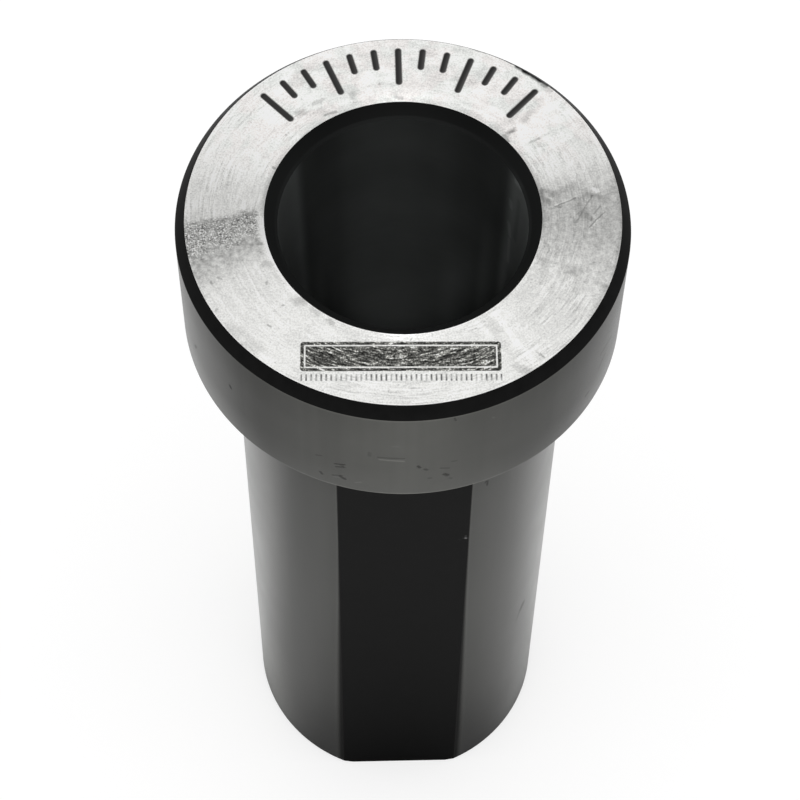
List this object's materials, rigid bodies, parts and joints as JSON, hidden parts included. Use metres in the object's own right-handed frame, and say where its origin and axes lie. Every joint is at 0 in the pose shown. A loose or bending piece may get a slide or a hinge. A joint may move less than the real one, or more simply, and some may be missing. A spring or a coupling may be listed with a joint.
{
  "type": "morse taper sleeve",
  "caption": "Round steel sleeve with a wide collar, a tapered drill socket along its axis, a clamping flat milled along its shank and a tang slot through its rear end.",
  "frame": {"origin": "centre of the rear end face, on the sleeve's axis", "axes": "+Z along the axis from the rear end to the front face; the clamping flat faces -Y"},
  "size_m": [0.0322, 0.0322, 0.0732],
  "materials": {
    "sleeve_steel": "ground outside and on the front face, black oxide on the flat, the chamfers and inside"
  },
  "bodies": {
    "root": {"sleeve": "sleeve_steel"}
  },
  "joints": []
}
